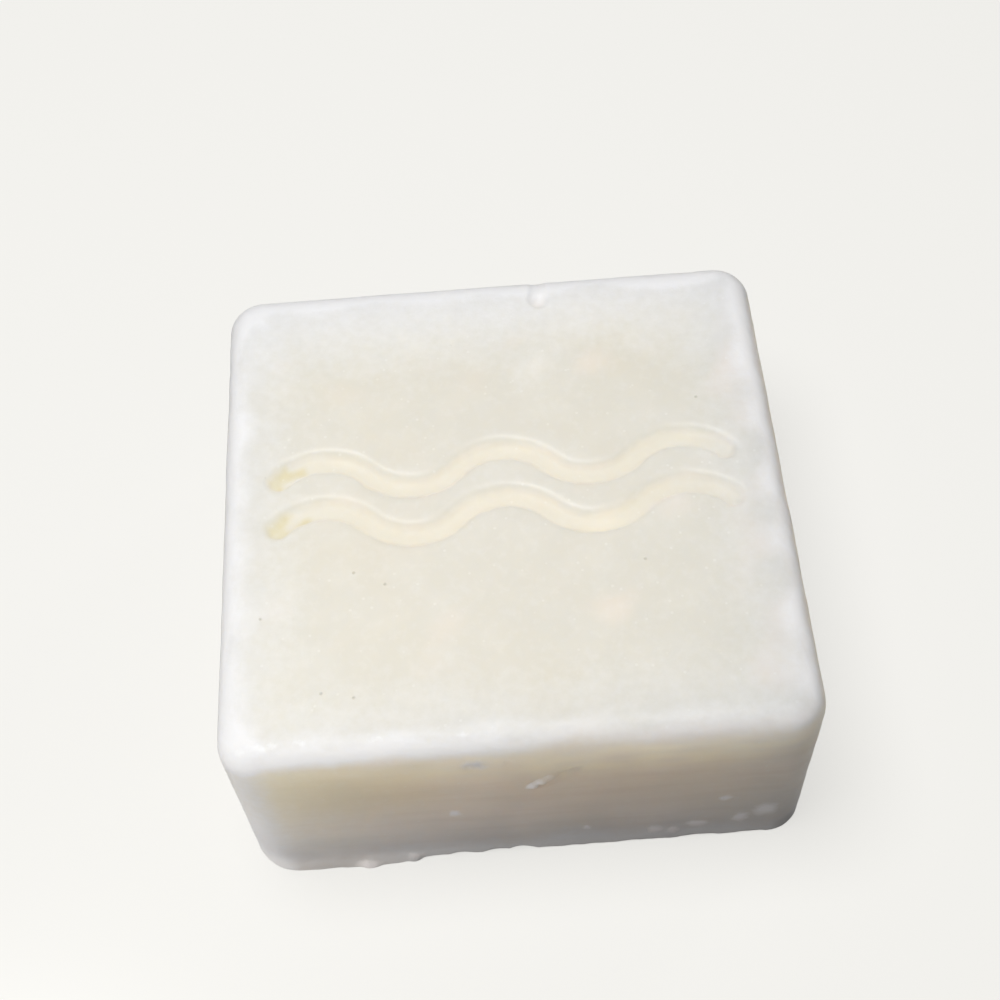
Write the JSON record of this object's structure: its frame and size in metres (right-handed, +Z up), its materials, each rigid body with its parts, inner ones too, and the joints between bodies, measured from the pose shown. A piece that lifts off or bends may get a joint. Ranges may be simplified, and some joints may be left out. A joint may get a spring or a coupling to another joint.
{
  "type": "conditioner bar",
  "caption": "Solid square hair conditioner bar of cream wax, cast in one piece, with soft edges, a wavy grooved mark pressed in the top and a trimmed, slightly chipped lower rim",
  "frame": {"origin": "middle of the flat face the bar rests on, ignoring the thin lip at its front left", "axes": "+Z up through the pressed face, +X along the pressed mark to the right, +Y to the back"},
  "size_m": [0.06, 0.0599, 0.0272],
  "materials": {
    "conditioner_wax": "satin, slightly translucent cream wax with a whiter bloom at the edges"
  },
  "bodies": {
    "root": {"bar": "conditioner_wax"}
  },
  "joints": []
}
